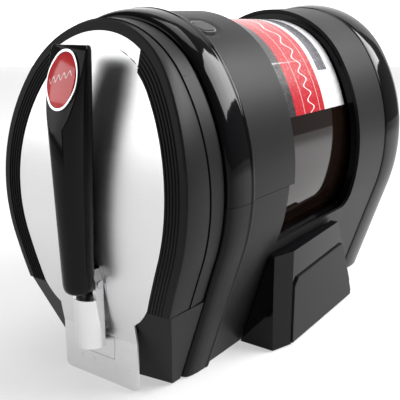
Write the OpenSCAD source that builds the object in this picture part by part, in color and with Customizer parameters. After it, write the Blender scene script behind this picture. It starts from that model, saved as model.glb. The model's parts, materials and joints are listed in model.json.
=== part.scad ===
/* [Body] */
// Half height of the barrel section at the front ring (width follows it)
barrel_b = 110; // [95:1:125]
// Height of the barrel axis above the table
axis_h = 141; // [132:1:152]
// Depth of the body from the face apex to the back wall
body_len = 343; // [320:1:380]
// Wall thickness of the moulded shells
wall = 3; // [2:0.5:4]
// Radius of the vertical curve of the front face
face_r = 428; // [350:1:600]

/* [Lid] */
// Height of the lid split above the barrel axis
split_z = -7; // [-12:1:0]
// Depth where the lid ends and the open bottle bay starts
bay_front = 126; // [118:1:134]
// Depth where the open bottle bay ends
bay_back = 246; // [236:1:256]
// Radius of the lid hinge pins
lid_pin_r = 1.8; // [1.4:0.1:2.2]

/* [Tap] */
// Length of the tap lever
lever_len = 162; // [140:1:180]
// Radius of the lever at its top end
lever_top_r = 15.6; // [13:0.1:18]
// Radius of the lever at its pivot end
lever_low_r = 10.4; // [9:0.1:12]
// Radius of the tap barrel
tap_r = 12; // [10:0.5:14]
// Radius of the pour hole
pour_r = 4.2; // [3:0.1:5]

/* [Bottle] */
// Half height of the bottle section
bottle_b = 106; // [90:1:107]
// Thickness of the label sleeve
label_t = 0.5; // [0.3:0.1:1]

/* [Hidden] */
$fn = 96;

gap = 0.3;
mid_y = 158.2;
taper = 17.5;
face_lean_z = -24.6;
face_y = -0.7;
floor_z = -axis_h;
lift = 0.6;
bezel_back = 38;
hoop_front = 40.5;
hoop_back = 65;
lid_front = hoop_back + gap;
rear_y = 303;
plate_off = -17.3;
plate_t = 1.4;
seam_z = -75;
pivot_y = -3;
pivot_z = -62;
pin_r = 2;
lever_y = -11;
lever_z0 = -67;
lever_z1 = lever_z0 + lever_len;
badge_z = 74;
badge_tilt = 17;
hinge_x = -92.8;
button_a = 29.9;
button_y = 80.4;
bottle_z = 5;
sill_z = -52;
pump = [28, -121];

// Frame: origin on the table under the middle of the body
module placed() translate([0, -mid_y, axis_h]) children();

function oc(b) = 0.5625 * b;
function oh(b) = 0.35 * b;
function orr(b) = 1.3125 * b;
function ot(b) = 0.65 * b;
al = atan2(0.35, 0.5625);

// Sweeps a profile (x = offset from the oval, y = depth) round one side of the upright oval.
// The pieces run a little into each other with a step too small to see, so they join soundly.
step = 0.04;
module half_arcs(b) {
  translate([-oc(b), 0, 0]) rotate([0, taper, 0])
    mirror([0, 1, -1]) rotate_extrude(angle = al + taper + 1) translate([orr(b), 0]) children();
  translate([0, step, oh(b)]) rotate([0, -al, 0])
    mirror([0, 1, -1]) rotate_extrude(angle = 93 - al) translate([ot(b) + step, 0]) children();
}
// The straight tapered leg below it
module leg(b, len = 130) translate([-oc(b), -step, 0]) rotate([0, taper, 0])
  translate([orr(b) - step, 0, -len]) linear_extrude(len + 1) children();
module arch(b) {
  half_arcs(b) children();
  mirror([1, 0, 0]) half_arcs(b) children();
}
module full_arch(b) {
  half_arcs(b) children();
  leg(b) children();
  mirror([1, 0, 0]) {
    half_arcs(b) children();
    leg(b) children();
  }
}
module above(z) intersection() {
  children();
  translate([-200, -100, z]) cube([400, 600, 300]);
}
module below(z) intersection() {
  children();
  translate([-200, -100, floor_z + lift]) cube([400, 600, z - floor_z - lift]);
}

// The same section as a solid block between two depths, standing on the table
function leg_x(b, o = 0) = (orr(b) + o) * cos(taper) - oc(b);
function leg_z(b, o = 0) = -(orr(b) + o) * sin(taper);
function foot_x(b) = leg_x(b) - (leg_z(b) - floor_z) * tan(taper);
module deep(y0, y1) translate([0, y1, 0]) rotate([90, 0, 0]) linear_extrude(y1 - y0) children();
module round_y(r, y0, y1) translate([0, y0, 0]) rotate([-90, 0, 0]) cylinder(r = r, h = y1 - y0);
module block(b, y0, y1, o = 0) {
  r = orr(b) + o;
  z0 = leg_z(b, o);
  translate([0, 0, oh(b)]) round_y(ot(b) + o, y0, y1);
  intersection() {
    translate([-oc(b), 0, 0]) round_y(r, y0, y1);
    translate([oc(b), 0, 0]) round_y(r, y0, y1);
    translate([-b - o, y0 - 1, z0]) cube([2 * (b + o), y1 - y0 + 2, r * sin(al) - z0]);
  }
  deep(y0, y1) polygon([for (s = [1, -1], z = s > 0 ? [z0 + 1, floor_z] : [floor_z, z0 + 1])
    [s * (leg_x(b, o) - step - (z0 - z) * tan(taper)), z]]);
}

// Curved sheet between two depths behind the front surface
module face_skin(d0, d1) intersection() {
  children();
  translate([-200, face_r + face_y, face_lean_z]) rotate([0, 90, 0]) difference() {
    cylinder(r = face_r - d0, h = 400, $fn = 256);
    translate([0, 0, -1]) cylinder(r = face_r - d1, h = 402, $fn = 256);
  }
}
// Oval closed at the top and the bottom, used for the bottle
module oval_block(b, y0, y1) {
  for (s = [-1, 1]) translate([0, 0, s * oh(b)]) round_y(ot(b), y0, y1);
  intersection() {
    translate([-oc(b), 0, 0]) round_y(orr(b), y0, y1);
    translate([oc(b), 0, 0]) round_y(orr(b), y0, y1);
    translate([-b, y0 - 1, -orr(b) * sin(al)]) cube([2 * b, y1 - y0 + 2, 2 * orr(b) * sin(al)]);
  }
}
module hole_y(r, y0, y1, x, z) translate([x, 0, z]) round_y(r, y0, y1);

// ---- Front face ----
neck_w = 35;
crease_z = -104;
tongue_y = 6.7;
function insert_pts(d) = [[7 + d, -38], [11 + d, -46.6], [13.5 + d, -61], [12.6 + d, -81], [12.2 + d, -99],
  [14.2 + d, -109], [13.5 + d, -121.5 - d], [-13.5 - d, -121.5 - d], [-14.2 - d, -109], [-12.2 - d, -99],
  [-12.6 - d, -81], [-13.5 - d, -61], [-11 - d, -46.6], [-7 - d, -38]];
function rim_x(z, o) = leg_x(barrel_b, o) - (leg_z(barrel_b, o) - z) * tan(taper);
module plate_solid(d, y0, y1) {
  intersection() {
    block(barrel_b, y0, y1, plate_off + d);
    translate([-120, y0, -74]) cube([240, y1 - y0, 300]);
  }
  intersection() {
    block(barrel_b, y0, y1, d - 6.5);
    translate([-36.5 - d, y0, 62]) cube([73 + 2 * d, y1 - y0, 60]);
  }
  r = [[rim_x(-74, plate_off + d), -73.9], [44.6 + d, -79.2], [40.4 + d, -84.2], [neck_w + d, -88.5 - d / 2],
    [neck_w + d, crease_z - d]];
  deep(y0, y1) polygon([for (s = [1, -1], i = s > 0 ? [0:4] : [4:-1:0]) [s * r[i][0], r[i][1]]]);
}
module tongue_sheet() difference() {
  translate([-neck_w, tongue_y, floor_z + 0.2]) cube([2 * neck_w, plate_t, crease_z - floor_z - 0.2]);
  for (s = [-1, 1]) translate([s * neck_w, tongue_y, floor_z + 0.2]) difference() {
    translate([-4, -1, -1]) cube([8, plate_t + 2, 5]);
    translate([-s * 4, -2, 4]) rotate([-90, 0, 0]) cylinder(r = 4, h = plate_t + 4);
  }
}
module face_plate() color([0.8, 0.8, 0.8]) placed() difference() {
  union() {
    face_skin(0, plate_t) plate_solid(0, -6, 20);
    tongue_sheet();
  }
  deep(-6, 30) polygon(insert_pts(gap));
}
module tap_insert() color([0.72, 0.72, 0.73]) placed() difference() {
  union() {
    intersection() {
      face_skin(0, plate_t) translate([-20, -6, crease_z]) cube([40, 40, 80]);
      deep(-6, 30) polygon(insert_pts(0));
    }
    intersection() {
      translate([-20, tongue_y, -125]) cube([40, plate_t, crease_z + 125]);
      deep(-6, 30) polygon(insert_pts(0));
    }
  }
  hole_y(3, -6, 20, 0, -68);
  translate([-8.6, -6, -78]) cube([17.2, 20, 28]);
}

module rib_zone(s) intersection() {
  children();
  translate([s > 0 ? 37 : -137, -20, seam_z]) cube([100, 80, 89 - seam_z]);
}
// The bezel follows the curve in four flat steps, each touching it at height z
function face_at(z) = face_r + face_y - sqrt(face_r * face_r - (z - face_lean_z) * (z - face_lean_z));
module step_cut(z, d) translate([0, face_at(z) + d, z]) rotate([-asin((z - face_lean_z) / face_r), 0, 0])
  translate([-150, 0, -300]) cube([300, 100, 600]);
module face_steps(d) intersection() {
  children();
  step_cut(82, d);
  step_cut(40, d);
  step_cut(0, d);
  step_cut(-50, d);
}
module bezel_ring(o0, o1, y1) above(seam_z + gap / 2) full_arch(barrel_b)
  polygon([[o0, -8], [o1, -8], [o1, y1], [o0, y1]]);
module front_bezel() color([0.12, 0.12, 0.12]) placed() difference() {
  face_steps(0) bezel_ring(plate_off + gap, 0, 24);
  intersection() {
    translate([0, 0, oh(barrel_b)]) round_y(ot(barrel_b) - 6.5 + gap, -9, 32);
    translate([-36.5 - gap, -9, 62]) cube([73 + 2 * gap, 42, 60]);
  }
}
module bezel_ribs() color([0.12, 0.12, 0.12]) placed() for (i = [0:4], s = [-1, 1]) rib_zone(s) difference() {
  face_steps(-0.7) bezel_ring(-16.4 + 2.2 * i, -15.3 + 2.2 * i, 20);
  face_steps(0) translate([-150, -10, -200]) cube([300, 100, 400]);
}
module bezel_collar() color([0.12, 0.12, 0.12]) placed() above(seam_z + gap / 2) full_arch(barrel_b)
  polygon([[-3, 24], [1.4, 24], [1.4, bezel_back], [-3, bezel_back]]);

module prow(d) for (s = [0, 1]) mirror([s, 0, 0]) translate([48, 2.2 + d, seam_z])
  rotate([22.5, 0, 7.6]) translate([-200, -200, -200]) cube([400, 200, 400]);
module front_chin() color([0.1, 0.1, 0.1]) placed() below(seam_z - gap / 2) difference() {
  full_arch(barrel_b) polygon([[-60, 0], [0, 0], [2.6, bezel_back], [-60, bezel_back]]);
  prow(0);
  difference() {
    full_arch(barrel_b) polygon([[-70, 0], [-3, 0], [-1, bezel_back + 1], [-70, bezel_back + 1]]);
    prow(3);
  }
  plate_solid(gap, -6, 9);
}
module front_frame() color([0.05, 0.05, 0.05]) placed() difference() {
  union() {
    full_arch(barrel_b) polygon([[-4.5, 38.2], [-1.6, 38.2], [-1.6, 64.5], [-4.5, 64.5]]);
    difference() {
      block(barrel_b, 38.2, 41, -3);
      hole_y(26, 30, 50, 0, bottle_z);
      translate([-12, 30, -115]) cube([24, 20, 60]);
    }
  }
  translate([-150, 0, floor_z - 60]) cube([300, 100, 60 + lift]);
}

// ---- Tap ----
module tap_barrel() color([0.75, 0.75, 0.76]) placed() difference() {
  union() {
    intersection() {
      translate([0, -1, -108.5]) cylinder(r = tap_r - 0.5, h = 35.5);
      translate([-20, -20, -109]) cube([40, 20.6, 40]);
    }
    intersection() {
      translate([-12, -6.6, -100]) cube([24, 7.2, 54]);
      face_skin(-8, -0.2) translate([-20, -12, -110]) cube([40, 40, 70]);
      deep(-20, 30) polygon([[5, -42], [11.4, -60], [11.4, -105], [-11.4, -105], [-11.4, -60], [-5, -42]]);
    }
  }
  translate([-8.4, -20, -73]) cube([16.8, 30, 54]);
  translate([0, -1, -112]) cylinder(r = 6.8, h = 8.4);
  translate([0, -1, -110]) cylinder(r = pour_r - 0.6, h = 26);
  hole_y(3, -20, 10, 0, -68);
  translate([-20, pivot_y, pivot_z]) rotate([0, 90, 0]) cylinder(r = pin_r + 0.02, h = 40);
}
module pour_nozzle() color([0.03, 0.03, 0.03]) placed() translate([0, -1, -109.4]) difference() {
  cylinder(r = 6.5, h = 5.6);
  translate([0, 0, -1]) cylinder(r = pour_r, h = 8);
}
module pivot_pin() color([0.6, 0.6, 0.6]) placed() translate([0, pivot_y, pivot_z]) rotate([0, 90, 0]) {
  translate([0, 0, -11.9]) cylinder(r = pin_r, h = 23.8);
  for (s = [-12.5, 11.5]) translate([0, 0, s]) cylinder(r = 2.9, h = 1);
}
module valve_body() color([0.06, 0.06, 0.06]) placed() difference() {
  translate([-10, 12, -100]) cube([20, 26, 40]);
  hole_y(2.45, 5, 30, 0, -68);
}
module valve_plunger() color([0.85, 0.85, 0.8]) placed() {
  hole_y(2.4, 2.2, 24, 0, -68);
}
module lever() color([0.02, 0.02, 0.02]) placed() difference() {
  union() {
    translate([0, lever_y, lever_z0 + 3]) cylinder(r1 = lever_low_r, r2 = lever_top_r, h = lever_len - 6);
    translate([0, lever_y, lever_z0]) cylinder(r1 = lever_low_r - 3, r2 = lever_low_r, h = 3);
    translate([0, lever_y, lever_z1 - 3]) cylinder(r1 = lever_top_r, r2 = lever_top_r - 3, h = 3);
    translate([-8, lever_y, -67]) cube([16, 12, 14]);
  }
  for (s = [-1, 1]) translate([s * 11.1 - 3, -10.6, -90]) cube([6, 30, 42]);
  translate([-20, -1.9, -53]) cube([40, 20, 160]);
  translate([-20, -1.9, -80]) cube([40, 20, 9]);
  badge_place() translate([-30, -40, -40]) cube([60, 40, 90]);
  translate([-20, pivot_y, pivot_z]) rotate([0, 90, 0]) cylinder(r = pin_r + 0.05, h = 40);
}
// Slanted seat of the badge: its surface is the local plane y = 0
module badge_place() translate([0, -15, badge_z]) rotate([-badge_tilt, 0, 0]) children();
function ec(a, b) = (0.25 * b * b - (a - b / 2) * (a - b / 2)) / (2 * (a - b / 2));
module oval_disc(a, b, y0, y1) {
  c = ec(a, b);
  t = (a + c) * (b / 2) / sqrt(c * c + b * b / 4);
  for (s = [-1, 1]) translate([0, 0, s * b / 2]) round_y(b / 2, y0, y1);
  intersection() {
    translate([-c, 0, 0]) round_y(a + c, y0, y1);
    translate([c, 0, 0]) round_y(a + c, y0, y1);
    translate([-a, y0 - 1, -t]) cube([2 * a, y1 - y0 + 2, 2 * t]);
  }
}
module badge_ring() color([0.7, 0.7, 0.72]) placed() badge_place() difference() {
  oval_disc(13, 19.2, -1.4, -0.1);
  oval_disc(11.7, 17.6, -2, 0);
}
module badge() color([0.75, 0.03, 0.05]) placed() badge_place() intersection() {
  oval_disc(11.5, 17.4, -3.4, -0.1);
  rotate([90, 0, 0]) rotate_extrude($fn = 128) intersection() {
    translate([0, -61.6]) circle(64.8, $fn = 256);
    square([30, 6]);
  }
}

// ---- Lid ----
hoop_pts = [[0.6, hoop_front], [3.5, hoop_front], [6, 44], [7.6, 50], [8.2, 58], [8.3, 61], [9, 62.5],
  [9, 64.4], [7.6, hoop_back], [0.6, hoop_back]];
module hoop_upper() color([0.02, 0.02, 0.02]) placed() above(split_z + gap / 2) arch(barrel_b)
  polygon(hoop_pts);
module hoop_legs() color([0.06, 0.06, 0.06]) placed() below(split_z - gap / 2) full_arch(barrel_b)
  polygon(hoop_pts);
// Seat of the release button: origin on the lid surface, z outwards
module button_place() translate([0, button_y, oh(barrel_b)]) rotate([0, button_a, 0])
  translate([0, 0, ot(barrel_b) + 6.9]) children();
module pill(r, len, z0, z1) {
  for (s = [-1, 1]) translate([0, s * len / 2, z0]) cylinder(r = r, h = z1 - z0);
  translate([-r, -len / 2, z0]) cube([2 * r, len, z1 - z0]);
}
module lid_shell() color([0.09, 0.09, 0.09]) placed() difference() {
  above(split_z + gap / 2) arch(barrel_b)
    polygon([[6 - wall, lid_front], [6, lid_front], [7.4, bay_front], [7.4 - wall, bay_front]]);
  button_place() {
    translate([0, -8, 58]) sphere(r = 60, $fn = 128);
    pill(7.3, 8, -12, 4);
  }
}
module button_bezel() color([0.35, 0.35, 0.36]) placed() button_place() difference() {
  pill(7.2, 8, -9.8, -0.6);
  pill(6, 8, -9, 0);
  translate([0, 0, -12]) cylinder(r = 2.5, h = 6);
}
module release_button() color([0.04, 0.04, 0.04]) placed() button_place() {
  pill(5.7, 8, -4.4, -0.2);
  translate([0, 0, -9]) cylinder(r = 2.2, h = 5);
}
module button_spring() color([0.6, 0.6, 0.6]) placed() button_place() {
  for (i = [0:2]) translate([0, 0, -8.5 + 1.1 * i]) rotate_extrude() translate([3.4, 0]) circle(0.45);
}
module knuckle(r, y0, y1) hole_y(r, y0, y1, hinge_x, split_z);
module lid_hinge_leaf() color([0.5, 0.5, 0.5]) placed() difference() {
  union() {
    knuckle(3.2, 84, 96);
    translate([hinge_x - 1, 84, split_z + 1]) cube([4.6, 12, 13]);
  }
  knuckle(lid_pin_r + 0.05, 80, 100);
}
module body_hinge_leaf() color([0.5, 0.5, 0.5]) placed() difference() {
  for (y = [71.6, 96.4]) {
    knuckle(3.2, y, y + 12);
    translate([hinge_x - 1, y, split_z - 14]) cube([y < 80 ? 5.2 : 4.5, 12, 13]);
  }
  knuckle(lid_pin_r + 0.02, 60, 120);
}
module hinge_pin() color([0.6, 0.6, 0.6]) placed() knuckle(lid_pin_r, 71, 109);

// ---- Body ----
body_pts = [[6, lid_front], [7.4, bay_front], [10.3, 245], [12.7, rear_y]];
module body_shell() color([0.09, 0.09, 0.09]) placed() difference() {
  full_arch(barrel_b) polygon(concat([for (p = body_pts) p], [for (i = [3:-1:0]) body_pts[i] - [wall, 0]]));
  translate([-150, 0, split_z - gap / 2]) cube([300, bay_front + gap, 300]);
  translate([-150, bay_front - 8, sill_z + 12]) cube([300, bay_back - bay_front + 8, 300]);
  translate([-150, bay_front - 8, sill_z]) cube([300, bay_back - bay_front - 4, 30]);
  translate([-150, bay_back - 12, sill_z + 12]) rotate([0, 90, 0]) cylinder(r = 12, h = 300);
  translate([-150, 0, floor_z - 60]) cube([300, 400, 60 + lift]);
}
module bay_lining() color([0.01, 0.01, 0.01]) placed() {
  above(sill_z - 2.4) full_arch(barrel_b)
    polygon([[1.8, bay_back + gap], [6.9, bay_back + gap], [6.9, bay_back + 3], [1.8, bay_back + 3]]);
  for (s = [0, 1]) mirror([s, 0, 0]) intersection() {
    translate([71, bay_front - 6, sill_z - 2.4]) cube([20, bay_back - bay_front + 7, 2]);
    block(barrel_b, bay_front - 7, bay_back + 4, 4);
  }
}
rear_pts = [[4, 0], [12.9, 0], [14.2, 5], [15.6, 13], [16.4, 23], [16.3, 31], [14.8, 37],
  [12, body_len - rear_y - gap], [8, body_len - rear_y - gap], [4, 35]];
module rear_hoop() color([0.02, 0.02, 0.02]) placed() translate([0, rear_y + gap, 0]) difference() {
  full_arch(barrel_b) polygon(rear_pts);
  translate([-150, -20, floor_z - 60]) cube([300, 150, 60 + lift]);
}
module back_cover() color([0.08, 0.08, 0.08]) placed() difference() {
  intersection() {
    block(barrel_b, 333, 336, 3.9);
    translate([-150, 300, floor_z + lift]) cube([300, 60, 400]);
  }
  for (i = [-4:4], s = [-1, 1]) translate([s * 30 - 15, 320, 8 * i - 1.5]) cube([30, 30, 3]);
  hole_y(6.3, 320, 350, 0, -112);
  for (p = screw_pts) hole_y(1.7, 320, 350, p[0], p[1]);
}
screw_pts = [[-60, 50], [60, 50], [-66, -60], [66, -60], [0, 96], [0, -90]];
module cover_screws() color([0.55, 0.55, 0.55]) placed() for (p = screw_pts) {
  hole_y(1.5, 326, 336.2, p[0], p[1]);
  hole_y(3, 336.2, 338, p[0], p[1]);
}

// ---- Base pods ----
module pod_side(d) rotate([90, 0, 90]) translate([0, 0, 40]) linear_extrude(52)
  polygon([[110 + d, -62 - d], [215 - d, -59 - d], [226 - d, -80 - d / 2], [254 - d, -132],
  [254 - d, floor_z + lift + d], [112 + d, floor_z + lift + d]]);
module pod_plan(d) translate([0, 0, floor_z]) linear_extrude(100)
  polygon([[44, 112 + d], [83 - d / 2, 111 + d], [89.6 - d, 130], [89.6 - d, 250 - d], [80, 254 - d],
    [44, 254 - d]]);
module pod(d) difference() {
  intersection() {
    pod_side(d);
    pod_plan(d);
  }
  block(barrel_b, 100, 150, 8.3 + d);
  block(barrel_b, 149.9, 200, 9.5 + d);
  block(barrel_b, 199.9, 260, 11 + d);
}
module pod_shells() color([0.02, 0.02, 0.02]) placed() for (s = [0, 1]) mirror([s, 0, 0]) difference() {
  pod(0);
  intersection() {
    pod_side(2.2);
    pod_plan(2.2);
    translate([50, 100, floor_z + 3]) cube([60, 200, 90]);
  }
}
module pod_panels() color([0.11, 0.11, 0.11]) placed() for (s = [0, 1]) mirror([s, 0, 0])
  translate([89.7, 0, 0]) rotate([90, 0, 90]) linear_extrude(1.6)
    polygon([[131, floor_z + 2], [131, -91], [137, -84.8], [223, -81], [250, -134], [250, floor_z + 2]]);
function plate_x(i) = foot_x(barrel_b) + 0.4 + (body_pts[i][0] - wall) / cos(taper);
module base_plate() color([0.07, 0.07, 0.07]) placed() translate([0, 0, floor_z + 1.4]) linear_extrude(2.4)
  polygon([for (s = [1, -1], i = s > 0 ? [0:3] : [3:-1:0]) [s * plate_x(i), body_pts[i][1]]]);
foot_pts = [[-36, 76], [36, 76], [-66, 180], [66, 180], [-40, 290], [40, 290]];
module rubber_feet() color([0.03, 0.03, 0.03]) placed() for (p = foot_pts)
  translate([p[0], p[1], floor_z]) cylinder(r = 6.5, h = abs(p[0]) > 60 ? lift : 1.4);
module cradle_ribs() color([0.06, 0.06, 0.06]) placed() for (y = [100, 240, 290]) difference() {
  translate([-44, y, floor_z + 3.8]) cube([88, 3, 60]);
  translate([0, 0, bottle_z]) oval_block(bottle_b + 0.2, y - 1, y + 4);
  hole_y(4, y - 1, y + 4, pump[0], pump[1]);
}

// ---- Bottle ----
module bottle() color([0.15, 0.06, 0.02, 0.6]) placed() translate([0, 0, bottle_z]) difference() {
  union() {
    oval_block(bottle_b, 92, 324);
    oval_block(bottle_b - 6, 84, 92.5);
    translate([0, 60, 0]) rotate([-90, 0, 0]) cylinder(r1 = 24, r2 = 66, h = 24.5);
    round_y(18, 44, 62);
  }
  oval_block(bottle_b - 1.6, 94, 322);
  round_y(15, 40, 96);
}
module bottle_cap() color([0.8, 0.8, 0.78]) placed() translate([0, 0, bottle_z]) difference() {
  round_y(21, 43.2, 58);
  round_y(18.2, 44, 60);
  hole_y(3.3, 40, 46, 0, 0);
  hole_y(2.7, 40, 46, 11, 0);
}
module bottle_label() color([0.75, 0.75, 0.76]) placed() translate([0, 0, bottle_z]) above(34) arch(bottle_b)
  polygon([[0.1, 96], [0.1 + label_t, 96], [0.1 + label_t, bay_back - 0.2], [0.1, bay_back - 0.2]]);

// ---- Drive and power ----
module beer_tube() color([0.75, 0.75, 0.7]) placed() {
  hole_y(3.2, 26, 45, 0, bottle_z);
  translate([0, 26, bottle_z]) sphere(r = 3.2);
  translate([0, 26, -59.8]) cylinder(r = 3.2, h = 59.8 + bottle_z);
}
module pump_motor() color([0.6, 0.6, 0.62]) placed() difference() {
  hole_y(13, 150, 190, pump[0], pump[1]);
  hole_y(3.2, 140, 186, pump[0], pump[1]);
}
module pump_rotor() color([0.5, 0.5, 0.5]) placed() {
  hole_y(3.1, 140, 185.6, pump[0], pump[1]);
  hole_y(10, 143.6, 149.6, pump[0], pump[1]);
}
module pump_head() color([0.1, 0.1, 0.1]) placed() difference() {
  translate([pump[0] - 14, 122, pump[1] - 15]) cube([28, 27, 30]);
  hole_y(10.6, 142.9, 160, pump[0], pump[1]);
  hole_y(3.4, 139, 160, pump[0], pump[1]);
}
module air_hose() color([0.2, 0.2, 0.2]) placed() {
  hole_y(2.6, 44, 122, pump[0], pump[1]);
  translate([pump[0], 44, pump[1]]) sphere(r = 2.6);
  translate([pump[0], 44, pump[1]]) cylinder(r = 2.6, h = 60);
}
module battery_cells() color([0.7, 0.6, 0.2]) placed() for (y = [128, 180], x = [-30, -3])
  hole_y(12.6, y, y + 49, x, -122.5);
module battery_tray() color([0.1, 0.1, 0.1]) placed() difference() {
  translate([-44.4, 125, floor_z + 3.8]) cube([55.8, 107, 22]);
  translate([-42.8, 126.6, floor_z + 5]) cube([52.6, 103.8, 30]);
}
module circuit_board() color([0.05, 0.3, 0.12]) placed() translate([14, 196, floor_z + 3.8])
  cube([30, 40, 1.6]);
module power_socket() color([0.03, 0.03, 0.03]) placed() difference() {
  union() {
    hole_y(6, 324, 337, 0, -112);
    hole_y(7.6, 336.2, 338, 0, -112);
  }
  hole_y(2.8, 328, 340, 0, -112);
}

face_plate();
front_bezel();
bezel_ribs();
bezel_collar();
front_chin();
front_frame();
tap_insert();
tap_barrel();
pour_nozzle();
pivot_pin();
valve_body();
valve_plunger();
lever();
badge_ring();
badge();
hoop_upper();
lid_shell();
lid_hinge_leaf();
body_hinge_leaf();
hinge_pin();
release_button();
button_bezel();
button_spring();
hoop_legs();
body_shell();
bay_lining();
rear_hoop();
back_cover();
pod_shells();
pod_panels();
base_plate();
rubber_feet();
cradle_ribs();
bottle();
bottle_cap();
bottle_label();
beer_tube();
pump_motor();
pump_rotor();
pump_head();
air_hose();
battery_cells();
battery_tray();
circuit_board();
power_socket();
cover_screws();
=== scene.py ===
# %% [markdown]
# # A home draught beer dispenser
# The object is a barrel with a silver front, a tall black tap lever and an open bay that
# shows a large refill bottle. The exact model gives every part its place and size. This file
# gives the parts their surfaces, and models again the ones whose edges are soft.

# %% Setup
# The exact model comes in as a fixed frame, in metres, with Z up
import json
import math

import bmesh
import bpy
from mathutils import Matrix, Vector


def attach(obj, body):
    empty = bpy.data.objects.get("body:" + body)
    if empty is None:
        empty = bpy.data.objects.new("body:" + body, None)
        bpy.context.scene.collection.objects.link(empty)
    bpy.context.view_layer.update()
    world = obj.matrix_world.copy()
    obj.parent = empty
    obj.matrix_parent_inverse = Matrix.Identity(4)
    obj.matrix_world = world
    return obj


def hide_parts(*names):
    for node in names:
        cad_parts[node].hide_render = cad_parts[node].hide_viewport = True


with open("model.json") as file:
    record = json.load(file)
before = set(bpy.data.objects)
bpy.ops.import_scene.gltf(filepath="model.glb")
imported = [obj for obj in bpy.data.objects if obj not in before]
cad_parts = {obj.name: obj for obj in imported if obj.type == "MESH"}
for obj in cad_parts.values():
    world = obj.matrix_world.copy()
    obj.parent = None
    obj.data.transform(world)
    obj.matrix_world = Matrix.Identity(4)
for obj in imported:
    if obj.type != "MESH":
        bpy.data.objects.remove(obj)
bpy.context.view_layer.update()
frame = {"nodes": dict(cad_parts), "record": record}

# %% [markdown]
# ## Where things are
# All shapes are given in millimetres from the middle of the barrel: x to the right, y back
# from the foremost point of the silver face, z up from the barrel's axis. `at` turns such a
# place into the frame's metres. The barrel's section is two wide arcs and one tight arc on
# top, with straight sides that lean in towards the table below them.

# %% Places in millimetres
MM = 0.001
MID_Y, AXIS_H = 158.2, 141.0
SIDE_C, SIDE_R = 61.875, 144.375
TOP_Z, TOP_R = 38.5, 71.5
LEAN = math.radians(17.5)
TURN = math.atan2(0.35, 0.5625)
LEG_TOP, LEG_LENGTH = -40, 115
RING_END = -74.85
LID_END, LEGS_START = -6.85, -7.15
FEET = -140.4


def at(x, y, z):
    return Vector((x, y - MID_Y, z + AXIS_H)) * MM


def face_depth(z):
    """Depth of the curved front surface at height z."""
    return 427.3 - math.sqrt(428.0 ** 2 - (z + 24.6) ** 2)


print("barrel", 2 * (SIDE_R - SIDE_C), "mm wide,", 2 * (TOP_Z + TOP_R), "mm tall")

# %% [markdown]
# ## Finishes
# Every finish is procedural. Two layers of noise move the colour and the roughness a little,
# and a fine bump breaks up the reflections, because a moulded or brushed surface is never
# perfectly even. `stretch` draws the grain out along one direction for brushed metal.

# %% A new material and its grain
def new_material(name):
    m = bpy.data.materials.new(name)
    m.use_nodes = True
    tree = m.node_tree
    return m, tree, tree.nodes["Principled BSDF"]


def grain_node(tree, size, stretch=(1, 1, 1), detail=3.0):
    place = tree.nodes.new("ShaderNodeTexCoord")
    scale = tree.nodes.new("ShaderNodeMapping")
    scale.inputs["Scale"].default_value = stretch
    noise = tree.nodes.new("ShaderNodeTexNoise")
    noise.inputs["Scale"].default_value = size
    noise.inputs["Detail"].default_value = detail
    tree.links.new(place.outputs["Object"], scale.inputs["Vector"])
    tree.links.new(scale.outputs["Vector"], noise.inputs["Vector"])
    return noise


# %% [markdown]
# The grain is a plain number at each point. The next helpers turn it into a roughness between
# two ends and into a mix of two colours, and put the parts together as one finish.

# %% Numbers, colours and finishes from the grain
def between(tree, factor, low, high):
    """A number that follows the noise from low to high."""
    span = tree.nodes.new("ShaderNodeMapRange")
    span.inputs["From Min"].default_value = 0.3
    span.inputs["From Max"].default_value = 0.7
    span.inputs["To Min"].default_value = low
    span.inputs["To Max"].default_value = high
    tree.links.new(factor, span.inputs["Value"])
    return span.outputs["Result"]


def blend_colours(tree, factor, a, b):
    mix = tree.nodes.new("ShaderNodeMix")
    mix.data_type = "RGBA"
    mix.inputs[6].default_value = (*a, 1)
    mix.inputs[7].default_value = (*b, 1)
    tree.links.new(factor, mix.inputs[0])
    return mix.outputs[2]


def make_finish(name, colour, rough, size=400, vary=0.08, bump=0.0, stretch=(1, 1, 1), **set_on):
    m, tree, shader = new_material(name)
    noise = grain_node(tree, size, stretch)
    grain = noise.outputs["Fac"]
    dark = [c * (1 - vary) for c in colour]
    light = [min(1, c * (1 + vary)) for c in colour]
    tree.links.new(blend_colours(tree, grain, dark, light), shader.inputs["Base Color"])
    tree.links.new(between(tree, grain, rough * 0.9, rough * 1.1), shader.inputs["Roughness"])
    for socket, value in set_on.items():
        shader.inputs[socket.replace("_", " ")].default_value = value
    if bump:
        relief = tree.nodes.new("ShaderNodeBump")
        relief.inputs["Strength"].default_value = bump
        relief.inputs["Distance"].default_value = 0.0002
        tree.links.new(grain, relief.inputs["Height"])
        tree.links.new(relief.outputs["Normal"], shader.inputs["Normal"])
    return m


# %% [markdown]
# The black plastics differ only in gloss: matte for the front ring, body and panels, polished
# for the hoops, the lever and the base pods. The silver face is brushed aluminium, so its
# noise is drawn out sideways.

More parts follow.
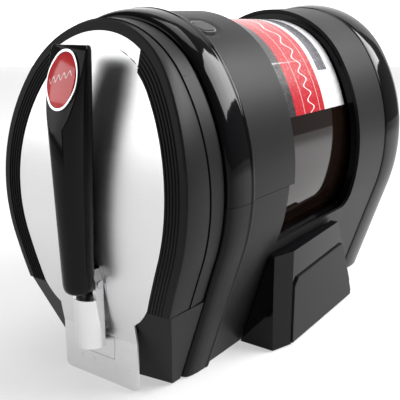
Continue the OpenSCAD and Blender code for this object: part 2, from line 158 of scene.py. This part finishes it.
# %% The finishes
LOOKS = {
    "brushed_silver": make_finish("brushed_silver", (0.7, 0.7, 0.705), 0.34, 900, 0.03, 0.012,
                                  (0.06, 1, 1), Metallic=1.0),
    "matte_black": make_finish("matte_black", (0.008, 0.008, 0.0085), 0.42, 2600, 0.2, 0.12,
                               Specular_IOR_Level=0.12),
    "inner_black": make_finish("inner_black", (0.006, 0.006, 0.006), 0.6, 900, 0.2, 0.1),
    "gloss_black": make_finish("gloss_black", (0.003, 0.003, 0.0035), 0.07, 90, 0.1,
                               Specular_IOR_Level=0.13),
    "dark_grey": make_finish("dark_grey", (0.07, 0.07, 0.075), 0.3, 900, 0.1),
    "nozzle_black": make_finish("nozzle_black", (0.005, 0.005, 0.005), 0.5, 600, 0.1),
    "steel": make_finish("steel", (0.56, 0.56, 0.57), 0.3, 900, 0.05, Metallic=1.0),
    "chrome_trim": make_finish("chrome_trim", (0.62, 0.62, 0.64), 0.16, 300, 0.04, Metallic=1.0),
    "pale_plastic": make_finish("pale_plastic", (0.7, 0.7, 0.66), 0.45, 500, 0.05),
    "rubber": make_finish("rubber", (0.012, 0.012, 0.012), 0.75, 1200, 0.2, 0.2),
    "cell_wrap": make_finish("cell_wrap", (0.55, 0.36, 0.06), 0.35, 400, 0.08),
    "board_green": make_finish("board_green", (0.02, 0.16, 0.06), 0.4, 700, 0.12),
    "amber_bottle": make_finish("amber_bottle", (0.006, 0.003, 0.002), 0.06, 60, 0.2,
                                Specular_IOR_Level=0.3),
}
print("plain finishes", len(LOOKS))

# %% [markdown]
# ## Printed marks
# The badge and the label carry bands and waves. A band is the set of points close to a plane,
# so it needs only the distance from that plane in the object's own coordinates. Adding a sine
# of one coordinate to the distance makes the band wind.

# %% Bands and waves
def band_mask(tree, direction, middle, half, soft=0.0004, wave=None):
    """1 within `half` metres of the plane through `middle` across `direction`, else 0.
    A wave (axis, height, length) makes the band wind along that axis."""
    place = tree.nodes.new("ShaderNodeTexCoord")
    along = tree.nodes.new("ShaderNodeVectorMath")
    along.operation = "DOT_PRODUCT"
    along.inputs[1].default_value = direction
    tree.links.new(place.outputs["Object"], along.inputs[0])
    off = tree.nodes.new("ShaderNodeMath")
    off.operation = "SUBTRACT"
    off.inputs[1].default_value = Vector(direction).dot(middle)
    tree.links.new(along.outputs["Value"], off.inputs[0])
    if wave:
        off = winding(tree, place, off, *wave)
    size = tree.nodes.new("ShaderNodeMath")
    size.operation = "ABSOLUTE"
    tree.links.new(off.outputs[0], size.inputs[0])
    edge = tree.nodes.new("ShaderNodeMapRange")
    edge.inputs["From Min"].default_value = half + soft
    edge.inputs["From Max"].default_value = half
    tree.links.new(size.outputs[0], edge.inputs["Value"])
    return edge.outputs["Result"]


def winding(tree, place, off, axis, height, length):
    """Adds a sine of one coordinate to a distance."""
    parts = tree.nodes.new("ShaderNodeSeparateXYZ")
    tree.links.new(place.outputs["Object"], parts.inputs[0])
    steps = [("MULTIPLY", 2 * math.pi / length), ("SINE", None), ("MULTIPLY", height)]
    value = parts.outputs[axis]
    for operation, number in steps:
        node = tree.nodes.new("ShaderNodeMath")
        node.operation = operation
        if number is not None:
            node.inputs[1].default_value = number
        tree.links.new(value, node.inputs[0])
        value = node.outputs[0]
    total = tree.nodes.new("ShaderNodeMath")
    tree.links.new(off.outputs[0], total.inputs[0])
    tree.links.new(value, total.inputs[1])
    return total


# %% [markdown]
# Masks are put over the ground colour one after another, as inks are in printing. Two masks
# multiplied leave only the place where both hold, which cuts a band to a length.

# %% Layers of ink
def layered(tree, base, layers):
    """Paints each (mask, colour) over the colour so far."""
    out = base
    for mask, colour in layers:
        mix = tree.nodes.new("ShaderNodeMix")
        mix.data_type = "RGBA"
        tree.links.new(mask, mix.inputs[0])
        tree.links.new(out, mix.inputs[6])
        mix.inputs[7].default_value = (*colour, 1)
        out = mix.outputs[2]
    return out


def both(tree, a, b):
    m = tree.nodes.new("ShaderNodeMath")
    m.operation = "MULTIPLY"
    tree.links.new(a, m.inputs[0])
    tree.links.new(b, m.inputs[1])
    return m.outputs[0]


# %% [markdown]
# The badge is a glossy red dome under a thin clear coat, with one pale wave across it and no
# lettering. The wave slants up to the right and stops short of the rim.

# %% The badge
badge_mat, tree, shader = new_material("red_badge")
noise = grain_node(tree, 500)
red = blend_colours(tree, noise.outputs["Fac"], (0.5, 0.006, 0.012), (0.62, 0.01, 0.016))
SLANT, ACROSS = (-0.3, 0.0, 0.954), (1.0, 0.0, 0.0)
stroke = band_mask(tree, SLANT, at(0, -17, 76), 0.00035, 0.0002, ("X", 0.0016, 0.0042))
middle = band_mask(tree, ACROSS, at(0, 0, 0), 0.0088)
painted = layered(tree, red, [(both(tree, stroke, middle), (0.75, 0.72, 0.7))])
tree.links.new(painted, shader.inputs["Base Color"])
tree.links.new(between(tree, noise.outputs["Fac"], 0.16, 0.2), shader.inputs["Roughness"])
shader.inputs["Coat Weight"].default_value = 0.5
LOOKS["red_badge"] = badge_mat
print("badge finish", len(tree.nodes), "shader nodes")

# %% [markdown]
# The label sleeve is printed film with bands that run round the bottle: dark at the front,
# then wide red with a plain pale wave where a name would be, then silver with a grey patch.

# %% The label film
label_mat, tree, shader = new_material("label_film")
noise = grain_node(tree, 300)
silver = blend_colours(tree, noise.outputs["Fac"], (0.55, 0.55, 0.56), (0.6, 0.6, 0.61))
LENGTH, UP = (0, 1, 0), (0, 0, 1)
patch = both(tree, band_mask(tree, LENGTH, at(0, 222, 0), 0.009),
             band_mask(tree, UP, at(0, 0, 92), 0.022))
layers = [
    (band_mask(tree, LENGTH, at(0, 120, 0), 0.033), (0.02, 0.02, 0.021)),
    (band_mask(tree, LENGTH, at(0, 179, 0), 0.026), (0.36, 0.006, 0.014)),
    (patch, (0.09, 0.09, 0.1)),
    (band_mask(tree, LENGTH, at(0, 182, 0), 0.0006, 0.0004, ("Z", 0.0042, 0.011)),
     (0.75, 0.72, 0.72)),
    (band_mask(tree, LENGTH, at(0, 168, 0), 0.0003, 0.0002), (0.6, 0.4, 0.4)),
    (band_mask(tree, LENGTH, at(0, 196, 0), 0.0003, 0.0002), (0.6, 0.4, 0.4)),
]
tree.links.new(layered(tree, silver, layers), shader.inputs["Base Color"])
tree.links.new(between(tree, noise.outputs["Fac"], 0.2, 0.3), shader.inputs["Roughness"])
LOOKS["label_film"] = label_mat
print("finishes", len(LOOKS))

# %% [markdown]
# ## Dressing the exact parts
# Each part of the exact model takes the finish its record names. `shade`, used for the new
# pieces below, shades smoothly with a sharp line wherever two faces meet at more than 30 degrees.

# %% Dress the exact parts
def shade(mesh, angle=30):
    mesh.shade_smooth()
    mesh.set_sharp_from_angle(angle=math.radians(angle))


for part in frame["record"]["subparts"]:
    node = frame["nodes"][part["node"]]
    node.data.materials.clear()
    node.data.materials.append(LOOKS[part["material_slot"]])
print("dressed", len(frame["nodes"]), "parts")

# %% [markdown]
# ## New pieces
# A modelled piece has its doubles merged and its faces turned outwards, takes a finish, and
# rides with one of the bodies of the frame. Where it stands for an exact part, that part is
# hidden. `cut` trims a shape at a plane and closes the opening.

# %% Finishing and cutting a piece
def finish_piece(bm, name, look, body, replaces=(), sharp=30):
    bmesh.ops.remove_doubles(bm, verts=bm.verts, dist=1e-6)
    bmesh.ops.recalc_face_normals(bm, faces=bm.faces)
    mesh = bpy.data.meshes.new(name)
    bm.to_mesh(mesh)
    bm.free()
    shade(mesh, sharp)
    mesh.materials.append(LOOKS[look])
    piece = bpy.data.objects.new(name, mesh)
    bpy.context.scene.collection.objects.link(piece)
    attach(piece, body)
    if replaces:
        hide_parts(*replaces)
    print(name, len(mesh.polygons), "faces")
    return piece


def cut(bm, point, outwards, close=True):
    """Trims away what lies beyond a plane and closes the opening."""
    geom = bm.verts[:] + bm.edges[:] + bm.faces[:]
    bmesh.ops.bisect_plane(bm, geom=geom, dist=1e-7, plane_co=point, plane_no=outwards, clear_outer=True)
    if close:
        bmesh.ops.holes_fill(bm, edges=[e for e in bm.edges if e.is_boundary], sides=0)


# %% [markdown]
# Most of the body is a profile carried round the barrel's section. `swept` starts with the
# profile where the side arc meets the straight leg, extrudes it down the leg, spins it round
# the side arc and the top arc, trims it at a height and mirrors it. A profile point is an
# offset outwards from the section and a depth. Spinning about the real centres of the arcs
# keeps the ring true to the section, which a path and a bevel would only come near.

# %% Sweep a profile round the barrel
def swept(profile, low=None, inner_x=None, leg_steps=14, side_steps=30, top_steps=22):
    bm = bmesh.new()
    c, s = math.cos(LEAN), math.sin(LEAN)
    ring = [bm.verts.new(at(-SIDE_C + (SIDE_R + o) * c, y, -(SIDE_R + o) * s)) for o, y in profile]
    loop = [bm.edges.new((ring[i - 1], ring[i])) for i in range(len(ring))]
    if low is None or low < LEG_TOP:
        down = loop
        for _ in range(leg_steps):
            made = bmesh.ops.extrude_edge_only(bm, edges=down)["geom"]
            down = [e for e in made if isinstance(e, bmesh.types.BMEdge) and len(e.link_faces) == 1]
            ends = list(dict.fromkeys(v for e in down for v in e.verts))
            step = LEG_LENGTH / leg_steps * MM
            bmesh.ops.translate(bm, verts=ends, vec=(-s * step, 0, -c * step))
    turned = ring + loop
    for centre, angle, steps in ((at(-SIDE_C, 0, 0), TURN + LEAN, side_steps),
                                 (at(0, 0, TOP_Z), math.pi / 2 - TURN, top_steps)):
        turned = bmesh.ops.spin(bm, geom=turned, cent=centre, axis=(0, -1, 0), angle=angle,
                                steps=steps, use_duplicate=False)["geom_last"]
    if low is not None:
        cut(bm, at(0, 0, low), (0, 0, -1))
    if inner_x is not None:
        cut(bm, at(inner_x, 0, 0), (-1, 0, 0))
    bmesh.ops.remove_doubles(bm, verts=bm.verts, dist=1e-6)
    bmesh.ops.mirror(bm, geom=bm.verts[:] + bm.edges[:] + bm.faces[:], axis="X", merge_dist=1e-6)
    return bm


# %% [markdown]
# Moulded rings have no knife edges, so the corners of a profile are rounded before it is
# swept. The front of the barrel is slightly curved, and a ring that lies on it is bent back
# by the same depth, less and less towards its rear.

# %% Round a profile and bend a ring
def rounded(points, radius, steps=3):
    """Rounds each corner of a closed profile."""
    out = []
    for i, p in enumerate(points):
        p = Vector(p)
        a, b = Vector(points[i - 1]) - p, Vector(points[(i + 1) % len(points)]) - p
        r = min(radius, a.length * 0.45, b.length * 0.45)
        start, end = p + a.normalized() * r, p + b.normalized() * r
        for k in range(steps + 1):
            t = k / steps
            out.append(start * (1 - t) ** 2 + p * 2 * t * (1 - t) + end * t * t)
    return [tuple(q) for q in out]


def bend_front(bm, reach=20.0):
    """Moves the front part of a ring back along the curve of the face."""
    for v in bm.verts:
        y = v.co.y / MM + MID_Y
        z = v.co.z / MM - AXIS_H
        v.co.y += face_depth(z) * max(0.0, min(1.0, (reach - y) / reach)) * MM


# %% [markdown]
# The front ring has a softly rounded outer edge and follows the curve of the silver face. On
# both sides five thin ribs stand on it; each is the same sweep with a narrow profile.

# %% Front ring and its ribs
bm = swept(rounded([(-17, 0.0), (0, 0.0), (1.0, 24), (-17, 24)], 2.2), low=RING_END)
bend_front(bm)
finish_piece(bm, "front_ring", "matte_black", "base", ["front_bezel"])

RIB_START, RIB_PITCH, RIB_INNER_X = -16.2, 2.35, 37
for i in range(5):
    o = RIB_START + RIB_PITCH * i
    bm = swept([(o, 0.5), (o + 0.1, -0.55), (o + 0.45, -0.75), (o + 0.8, -0.55), (o + 0.9, 0.5)],
               low=RING_END, inner_x=RIB_INNER_X)
    bend_front(bm)
    stands_for = ["bezel_ribs"] if i == 0 else ()
    finish_piece(bm, f"ring_rib_{i + 1}", "matte_black", "base", stands_for)

# %% [markdown]
# The polished front hoop stands proud of the body. Its upper half is part of the lid, its
# lower half is matte and carries on to the table. The rear hoop is fuller and all polished.

# %% Hoops
HOOP = [(0.6, 40.5), (2.5, 40.5), (5.2, 42), (6.8, 46), (7.8, 52), (8.2, 58), (8.3, 61), (9, 62.4),
        (9, 64.4), (7.6, 65), (0.6, 65)]
bm = swept(rounded(HOOP, 2.0), low=LID_END)
finish_piece(bm, "upper_front_hoop", "gloss_black", "lid", ["hoop_upper"])
bm = swept(rounded(HOOP, 2.0))
cut(bm, at(0, 0, LEGS_START), (0, 0, 1))
cut(bm, at(0, 0, FEET), (0, 0, -1))
finish_piece(bm, "lower_front_hoop", "matte_black", "base", ["hoop_legs"])

REAR = [(4, 303.3), (12.9, 303.3), (14.2, 308), (15.6, 316), (16.4, 326), (16.3, 334), (14.8, 340),
        (12, 343), (8, 343), (4, 338)]
bm = swept(rounded(REAR, 4.0), low=FEET)
finish_piece(bm, "rear_barrel_hoop", "gloss_black", "base", ["rear_hoop"])

# %% [markdown]
# The lid has a shallow scoop on top, near the hoop, round the release button. The lid is the
# same sweep with its outer line split into short steps. The points inside a large ball that
# hangs over the button are pushed to the ball's surface, as a thumb would press soft clay.

# %% Lid with its scoop
BUTTON_TURN, BUTTON_Y = math.radians(29.9), 78
SCOOP_R, SCOOP_DEPTH, SCOOP_SKIN = 60, 2.8, 4
outer = [(6 + 1.4 * k / 16, 65.3 + 60.7 * k / 16) for k in range(17)]
bm = swept(outer + [(4.4, 126), (3, 65.3)], low=LID_END, side_steps=36, top_steps=40)
out_from = Vector((math.sin(BUTTON_TURN), 0, math.cos(BUTTON_TURN)))
ball = at(0, BUTTON_Y, TOP_Z) + out_from * (TOP_R + 6.9 + SCOOP_R - SCOOP_DEPTH) * MM
for v in bm.verts:
    gap = v.co - ball
    if (SCOOP_R - SCOOP_SKIN) * MM < gap.length < SCOOP_R * MM:
        v.co = ball + gap.normalized() * SCOOP_R * MM
finish_piece(bm, "lid_skin", "matte_black", "lid", ["lid_shell"])

# %% [markdown]
# The lever is a tapered round bar: circles extruded up the bar, with a rounded foot. A plain
# cone would not give the soft foot and the eased top, so each ring has its own radius.

# %% Tap lever: the round bar
LEVER_Y = -11
rings = [(-67, 7.2), (-66.4, 8.4), (-65.2, 9.6), (-63.4, 10.35), (-60, 10.8), (92, 15.5),
         (94.2, 15.1), (95, 14)]
bm = bmesh.new()
made = bmesh.ops.create_circle(bm, cap_ends=True, radius=rings[0][1] * MM, segments=64,
                               matrix=Matrix.Translation(at(0, LEVER_Y, rings[0][0])))
edges = list(dict.fromkeys(e for v in made["verts"] for e in v.link_edges))
radius, height = rings[0][1], rings[0][0]
for z, r in rings[1:]:
    made = bmesh.ops.extrude_edge_only(bm, edges=edges)["geom"]
    edges = [g for g in made if isinstance(g, bmesh.types.BMEdge)]
    ends = [g for g in made if isinstance(g, bmesh.types.BMVert)]
    edges = [e for e in edges if all(v in ends for v in e.verts)]
    axis = at(0, LEVER_Y, height)
    bmesh.ops.scale(bm, verts=ends, vec=(r / radius, r / radius, 1), space=Matrix.Translation(-axis))
    bmesh.ops.translate(bm, verts=ends, vec=(0, 0, (z - height) * MM))
    radius, height = r, z
bmesh.ops.holes_fill(bm, edges=[e for e in bm.edges if e.is_boundary], sides=0)
print("lever rings", len(rings))

# %% [markdown]
# The back of the bar is planed flat, and its top is planed at the slant that carries the
# badge. The edges that the planes leave are then eased by 0.7 mm so that they catch light.

# %% Tap lever: the flats and the eased edges
BACK_Y, EASE = -1.9, 0.7
BADGE_TILT = math.radians(17)
cut(bm, at(0, BACK_Y, 0), (0, 1, 0))
cut(bm, at(0, -15, 74), (0, -math.cos(BADGE_TILT), math.sin(BADGE_TILT)))
bm.normal_update()
rims = [e for e in bm.edges if len(e.link_faces) == 2 and e.calc_face_angle() > math.radians(35)]
bmesh.ops.bevel(bm, geom=rims, offset=EASE * MM, offset_type="OFFSET", segments=3, profile=0.5,
                affect="EDGES", material=-1)
finish_piece(bm, "tap_lever_bar", "gloss_black", "tap_lever", ["lever"], 40)

# %% [markdown]
# A small block with rounded edges joins the foot of the bar to the pin it turns on.

# %% Lever knuckle
bm = bmesh.new()
block_size = Matrix.Diagonal((15.6 * MM, 8 * MM, 9 * MM, 1))
bmesh.ops.create_cube(bm, size=1, matrix=Matrix.Translation(at(0, -3.5, -62)) @ block_size)
bmesh.ops.bevel(bm, geom=bm.edges[:], offset=1.5 * MM, offset_type="OFFSET", segments=3, profile=0.5,
                affect="EDGES", material=-1)
finish_piece(bm, "lever_knuckle", "gloss_black", "tap_lever")

# %% [markdown]
# Ten small drops are embossed in two staggered rows on the foot of the silver plate. Each is
# a flattened ball drawn out to a point at the top.

# %% Embossed drops
DROP_START, DROP_PITCH = -24, 5.6
UPPER_ROW, LOWER_ROW = -119.5, -127.5
for i in range(10):
    bm = bmesh.new()
    x = DROP_START + DROP_PITCH * i
    z = UPPER_ROW if i % 2 == 0 else LOWER_ROW
    bmesh.ops.create_uvsphere(bm, u_segments=16, v_segments=10, radius=1)
    for v in bm.verts:
        squeeze = 1 - 0.75 * max(0, v.co.z)
        v.co = at(x + v.co.x * 1.25 * squeeze, 6.75 + v.co.y * 0.4, z + v.co.z * 2.2)
    finish_piece(bm, f"drop_{i + 1}", "brushed_silver", "base")

# %% [markdown]
# ## Studio
# A pale floor and a plain pale wall behind it glow a little of their own, so the object stands
# in an even white surround and its blacks still show their shape.

# %% Floor and wall
def stage_plane(name, size, place, turn, look):
    bm = bmesh.new()
    bmesh.ops.create_grid(bm, x_segments=1, y_segments=1, size=size)
    mesh = bpy.data.meshes.new(name)
    bm.to_mesh(mesh)
    bm.free()
    mesh.materials.append(look)
    o = bpy.data.objects.new(name, mesh)
    o.location, o.rotation_euler = place, turn
    bpy.context.scene.collection.objects.link(o)
    return o


paper, tree, shader = new_material("studio_paper")
noise = grain_node(tree, 8)
pale = blend_colours(tree, noise.outputs["Fac"], (0.4, 0.4, 0.4), (0.42, 0.42, 0.42))
tree.links.new(pale, shader.inputs["Base Color"])
shader.inputs["Roughness"].default_value = 0.9
shader.inputs["Emission Color"].default_value = (1, 1, 1, 1)
shader.inputs["Emission Strength"].default_value = 0.5
stage_plane("floor", 4.0, (0, 0, -0.0005), (0, 0, 0), paper)
glow, tree, shader = new_material("studio_wall")
noise = grain_node(tree, 8)
pale = blend_colours(tree, noise.outputs["Fac"], (0.9, 0.9, 0.9), (0.93, 0.93, 0.93))
tree.links.new(pale, shader.inputs["Base Color"])
shader.inputs["Emission Color"].default_value = (1, 1, 1, 1)
shader.inputs["Emission Strength"].default_value = 1.0
stage_plane("wall", 4.0, (-2.0, 2.9, 0), (math.radians(90), 0, math.radians(34.8)), glow)
print("floor and wall, each", 2 * 4.0, "m wide")

# %% [markdown]
# Gloss black shows only what it reflects, so the lights are large and soft. A weak one stands
# at the front left for the silver face. A strong one behind on the right draws the long
# highlights on the hoops and the lid, and one above fills the tops. The surround is grey.

# %% Lights
def softbox(name, place, aim, width, height, power):
    light = bpy.data.lights.new(name, "AREA")
    light.shape = "RECTANGLE"
    light.size, light.size_y, light.energy = width, height, power
    o = bpy.data.objects.new(name, light)
    o.location = place
    o.rotation_euler = (Vector(aim) - Vector(place)).to_track_quat("-Z", "Y").to_euler()
    bpy.context.scene.collection.objects.link(o)
    return o


softbox("key", (-1.2, -1.6, 0.75), (0, -0.1, 0.14), 1.5, 1.2, 13)
softbox("right_box", (1.0, 0.8, 1.1), (0, 0, 0.18), 1.3, 0.8, 48)
softbox("overhead", (0.1, 0.3, 1.8), (0, 0, 0.1), 1.0, 1.2, 16)

world = bpy.data.worlds.new("surround")
world.use_nodes = True
world.node_tree.nodes["Background"].inputs["Color"].default_value = (0.22, 0.22, 0.222, 1)
bpy.context.scene.world = world
bpy.context.scene.view_settings.view_transform = "Standard"

# %% [markdown]
# ## Camera
# The camera stands a little above the object and to the right of its front, about half a
# metre from its middle, with a lens a little longer than normal.

# %% Camera
eye, target = Vector((0.2964, -0.4528, 0.2480)), Vector((0.0, -0.0262, 0.1061))
camera = bpy.data.objects.new("camera", bpy.data.cameras.new("camera"))
camera.location = eye
camera.rotation_euler = (target - eye).to_track_quat("-Z", "Y").to_euler()
camera.data.lens, camera.data.sensor_width = 57.81, 36
camera.data.clip_start = 0.01
bpy.context.scene.collection.objects.link(camera)
bpy.context.scene.camera = camera
print("camera", round((target - eye).length, 3), "m from its target")
